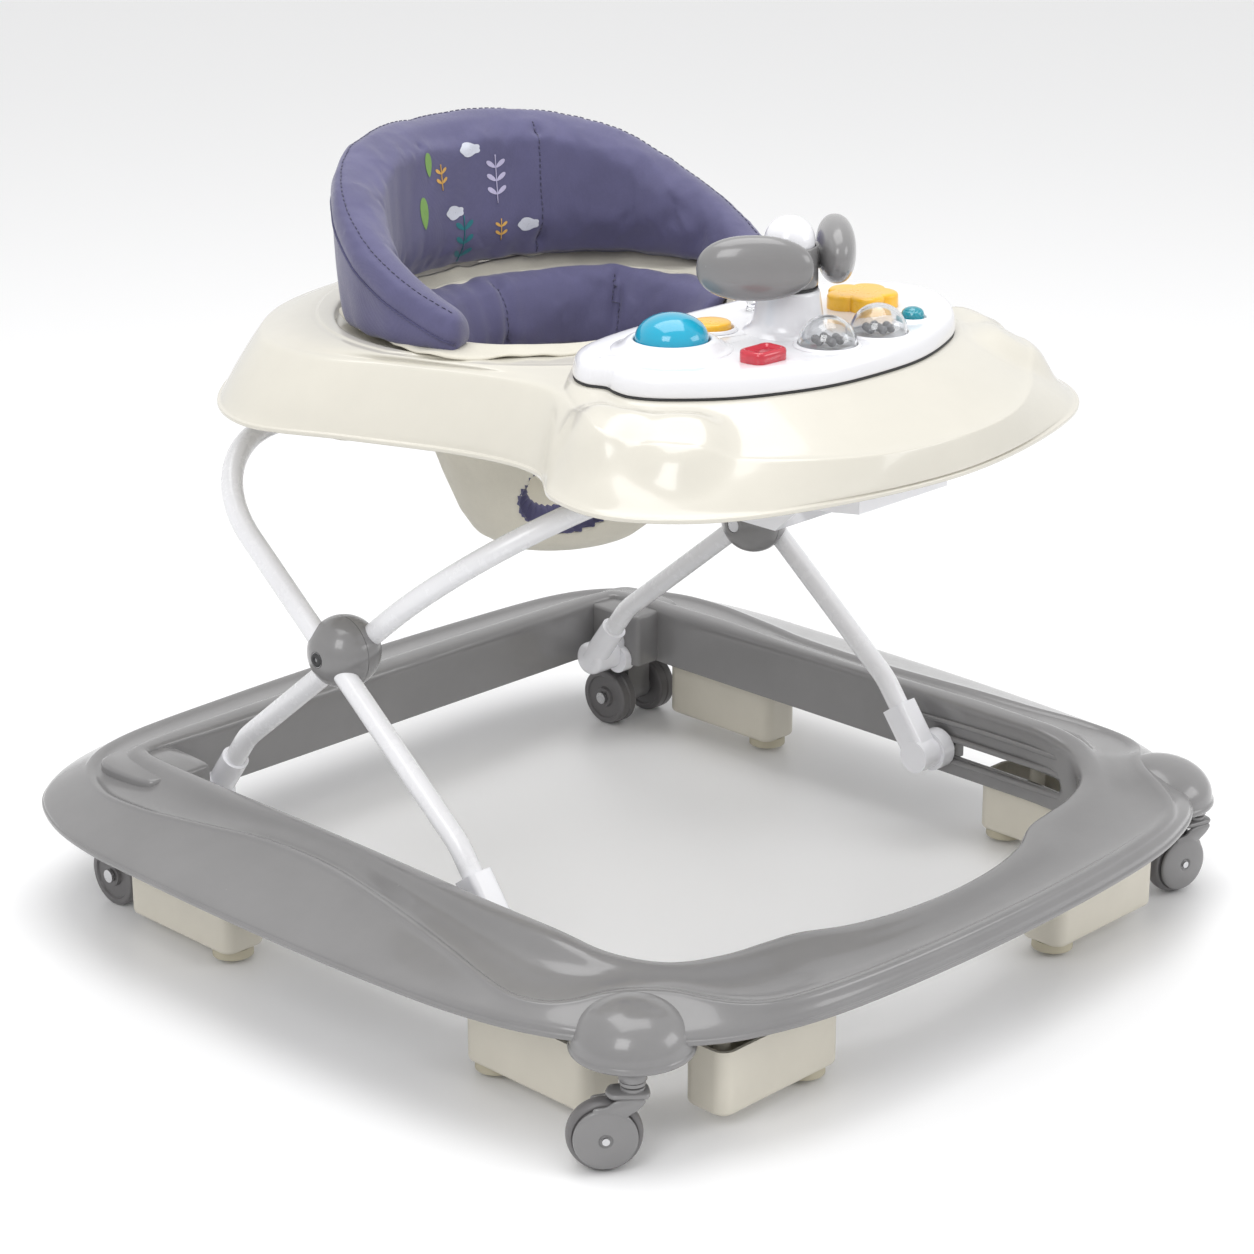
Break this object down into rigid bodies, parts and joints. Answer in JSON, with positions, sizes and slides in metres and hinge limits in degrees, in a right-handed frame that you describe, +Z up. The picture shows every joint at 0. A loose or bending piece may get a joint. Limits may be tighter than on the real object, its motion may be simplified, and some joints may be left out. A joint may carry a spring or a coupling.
{
  "type": "baby walker",
  "caption": "Baby walker: rounded base ring on casters and rear wheels, folding scissor legs, tray with steering toy and padded fabric seat.",
  "frame": {"origin": "on the floor under the middle of the base ring", "axes": "+Z up, -Y the walker's front where the toy tray is, +X the child's left"},
  "size_m": [0.7206, 0.7259, 0.5716],
  "materials": {
    "grey_plastic": "glossy moulded mid grey",
    "ivory_plastic": "glossy moulded ivory",
    "white_plastic": "glossy white",
    "white_tube": "white gloss powder coat",
    "steel": "zinc plated",
    "pad_rubber": "matt beige rubber",
    "wheel_grey": "satin grey",
    "indigo_fabric": "satin polyester",
    "cream_fabric": "plain polyester",
    "blue_plastic": "glossy",
    "yellow_plastic": "glossy",
    "red_plastic": "glossy translucent",
    "teal_plastic": "glossy translucent",
    "clear_plastic": "clear",
    "bead_plastic": "glossy",
    "dark_plastic": "moulded"
  },
  "bodies": {
    "base": {"base_front": "grey_plastic", "base_rear": "grey_plastic", "base_side_left": "grey_plastic", "base_side_right": "grey_plastic", "stopper_screws": "steel", "rear_axles": "steel", "leg_pivot_pins": "steel", "stopper_box_front_left": "ivory_plastic", "stopper_box_front_right": "ivory_plastic", "stopper_box_side_front_left": "ivory_plastic", "stopper_box_side_front_right": "ivory_plastic", "stopper_box_side_rear_left": "ivory_plastic", "stopper_box_side_rear_right": "ivory_plastic", "stopper_feet_left": "pad_rubber", "stopper_feet_right": "pad_rubber", "rear_wheel_bracket_left": "grey_plastic", "rear_wheel_bracket_right": "grey_plastic", "caster_socket_left": "grey_plastic", "caster_socket_right": "grey_plastic"},
    "rear_wheel_inner_left": {"rear_wheel_inner_left": "wheel_grey"},
    "rear_wheel_outer_left": {"rear_wheel_outer_left": "wheel_grey"},
    "rear_wheel_inner_right": {"rear_wheel_inner_right": "wheel_grey"},
    "rear_wheel_outer_right": {"rear_wheel_outer_right": "wheel_grey"},
    "caster_left": {"caster_fork_left": "grey_plastic", "caster_pins_left": "steel"},
    "caster_right": {"caster_fork_right": "grey_plastic", "caster_pins_right": "steel"},
    "caster_wheel_left": {"caster_wheel_left": "wheel_grey"},
    "caster_wheel_right": {"caster_wheel_right": "wheel_grey"},
    "inner_leg": {"inner_leg_tube": "white_tube", "hub_bolts": "steel", "inner_leg_fitting_left": "white_plastic", "inner_leg_fitting_right": "white_plastic", "hub_inner_cover_left": "grey_plastic", "hub_inner_cover_right": "grey_plastic"},
    "outer_leg": {"outer_leg_tube": "white_tube", "outer_leg_fitting_left": "white_plastic", "outer_leg_fitting_right": "white_plastic", "hub_outer_cover_left": "grey_plastic", "hub_outer_cover_right": "grey_plastic"},
    "slider_left": {"slider_left": "grey_plastic"},
    "slider_right": {"slider_right": "grey_plastic"},
    "tray": {"tray_shell": "ivory_plastic", "rear_tube_clips": "white_plastic", "height_adjuster": "white_plastic", "toy_panel": "white_plastic", "panel_screws": "steel", "music_box": "dark_plastic", "rattle_domes": "clear_plastic", "rattle_beads": "bead_plastic", "seat_back": "indigo_fabric", "seat_pad": "indigo_fabric", "seat_sling": "cream_fabric"},
    "steering_yoke": {"steering_yoke": "grey_plastic"},
    "ball_button": {"ball_button": "white_plastic"},
    "blue_dome_button": {"blue_dome_button": "blue_plastic"},
    "small_yellow_button": {"small_yellow_button": "yellow_plastic"},
    "teal_button": {"teal_button": "teal_plastic"},
    "red_button": {"red_button": "red_plastic"},
    "cloud_button": {"cloud_button": "yellow_plastic"}
  },
  "joints": [
    {"name": "fold", "type": "hinge", "parent": "base", "child": "inner_leg", "pos_m": [0, 0.246, 0.072], "axis": [1, 0, 0], "range_deg": [0, 24]},
    {"name": "scissor", "type": "hinge", "parent": "inner_leg", "child": "outer_leg", "pos_m": [0, 0.077, 0.23], "axis": [1, 0, 0], "range_deg": [-48, 0]},
    {"name": "tray_level", "type": "hinge", "parent": "outer_leg", "child": "tray", "pos_m": [0, 0.22948, 0.35315], "axis": [1, 0, 0], "range_deg": [0, 24]},
    {"name": "slider_level_left", "type": "hinge", "parent": "outer_leg", "child": "slider_left", "pos_m": [0.24, -0.092, 0.072], "axis": [1, 0, 0], "range_deg": [0, 24]},
    {"name": "slider_level_right", "type": "hinge", "parent": "outer_leg", "child": "slider_right", "pos_m": [-0.24, -0.092, 0.072], "axis": [1, 0, 0], "range_deg": [0, 24]},
    {"name": "caster_swivel_left", "type": "hinge", "parent": "base", "child": "caster_left", "pos_m": [0.305, -0.296, 0.06], "axis": [0, 0, 1], "continuous": true},
    {"name": "caster_roll_left", "type": "hinge", "parent": "caster_left", "child": "caster_wheel_left", "pos_m": [0.28739, -0.29226, 0.025], "axis": [-0.2079, -0.9781, 0], "continuous": true},
    {"name": "rear_roll_inner_left", "type": "hinge", "parent": "base", "child": "rear_wheel_inner_left", "pos_m": [0.2385, 0.262, 0.024], "axis": [1, 0, 0], "continuous": true},
    {"name": "rear_roll_outer_left", "type": "hinge", "parent": "base", "child": "rear_wheel_outer_left", "pos_m": [0.2855, 0.262, 0.024], "axis": [1, 0, 0], "continuous": true},
    {"name": "caster_swivel_right", "type": "hinge", "parent": "base", "child": "caster_right", "pos_m": [-0.305, -0.296, 0.06], "axis": [0, 0, 1], "continuous": true},
    {"name": "caster_roll_right", "type": "hinge", "parent": "caster_right", "child": "caster_wheel_right", "pos_m": [-0.31879, -0.28443, 0.025], "axis": [-0.6428, -0.766, 0], "continuous": true},
    {"name": "rear_roll_inner_right", "type": "hinge", "parent": "base", "child": "rear_wheel_inner_right", "pos_m": [-0.2385, 0.262, 0.024], "axis": [1, 0, 0], "continuous": true},
    {"name": "rear_roll_outer_right", "type": "hinge", "parent": "base", "child": "rear_wheel_outer_right", "pos_m": [-0.2855, 0.262, 0.024], "axis": [1, 0, 0], "continuous": true},
    {"name": "steering_turn", "type": "hinge", "parent": "tray", "child": "steering_yoke", "pos_m": [0, -0.146, 0.505], "axis": [0, 0, 1], "range_deg": [-40, 40]},
    {"name": "ball_button_press", "type": "slide", "parent": "steering_yoke", "child": "ball_button", "axis": [0, 0, -1], "range_m": [0, 0.002], "stiffness_N_per_m": 220, "springref_m": -0.003},
    {"name": "blue_dome_button_press", "type": "slide", "parent": "tray", "child": "blue_dome_button", "axis": [0, 0, -1], "range_m": [0, 0.003], "stiffness_N_per_m": 220, "springref_m": -0.003},
    {"name": "small_yellow_button_press", "type": "slide", "parent": "tray", "child": "small_yellow_button", "axis": [0, 0, -1], "range_m": [0, 0.0025], "stiffness_N_per_m": 220, "springref_m": -0.003},
    {"name": "teal_button_press", "type": "slide", "parent": "tray", "child": "teal_button", "axis": [0, 0, -1], "range_m": [0, 0.0025], "stiffness_N_per_m": 220, "springref_m": -0.003},
    {"name": "red_button_press", "type": "slide", "parent": "tray", "child": "red_button", "axis": [0, 0, -1], "range_m": [0, 0.0025], "stiffness_N_per_m": 220, "springref_m": -0.003},
    {"name": "cloud_button_press", "type": "slide", "parent": "tray", "child": "cloud_button", "axis": [0, 0, -1], "range_m": [0, 0.003], "stiffness_N_per_m": 220, "springref_m": -0.003}
  ],
  "couplings": [
    {"joint": "scissor", "follows": "fold", "ratio": -2},
    {"joint": "tray_level", "follows": "fold", "ratio": 1},
    {"joint": "slider_level_left", "follows": "fold", "ratio": 1},
    {"joint": "slider_level_right", "follows": "fold", "ratio": 1}
  ]
}
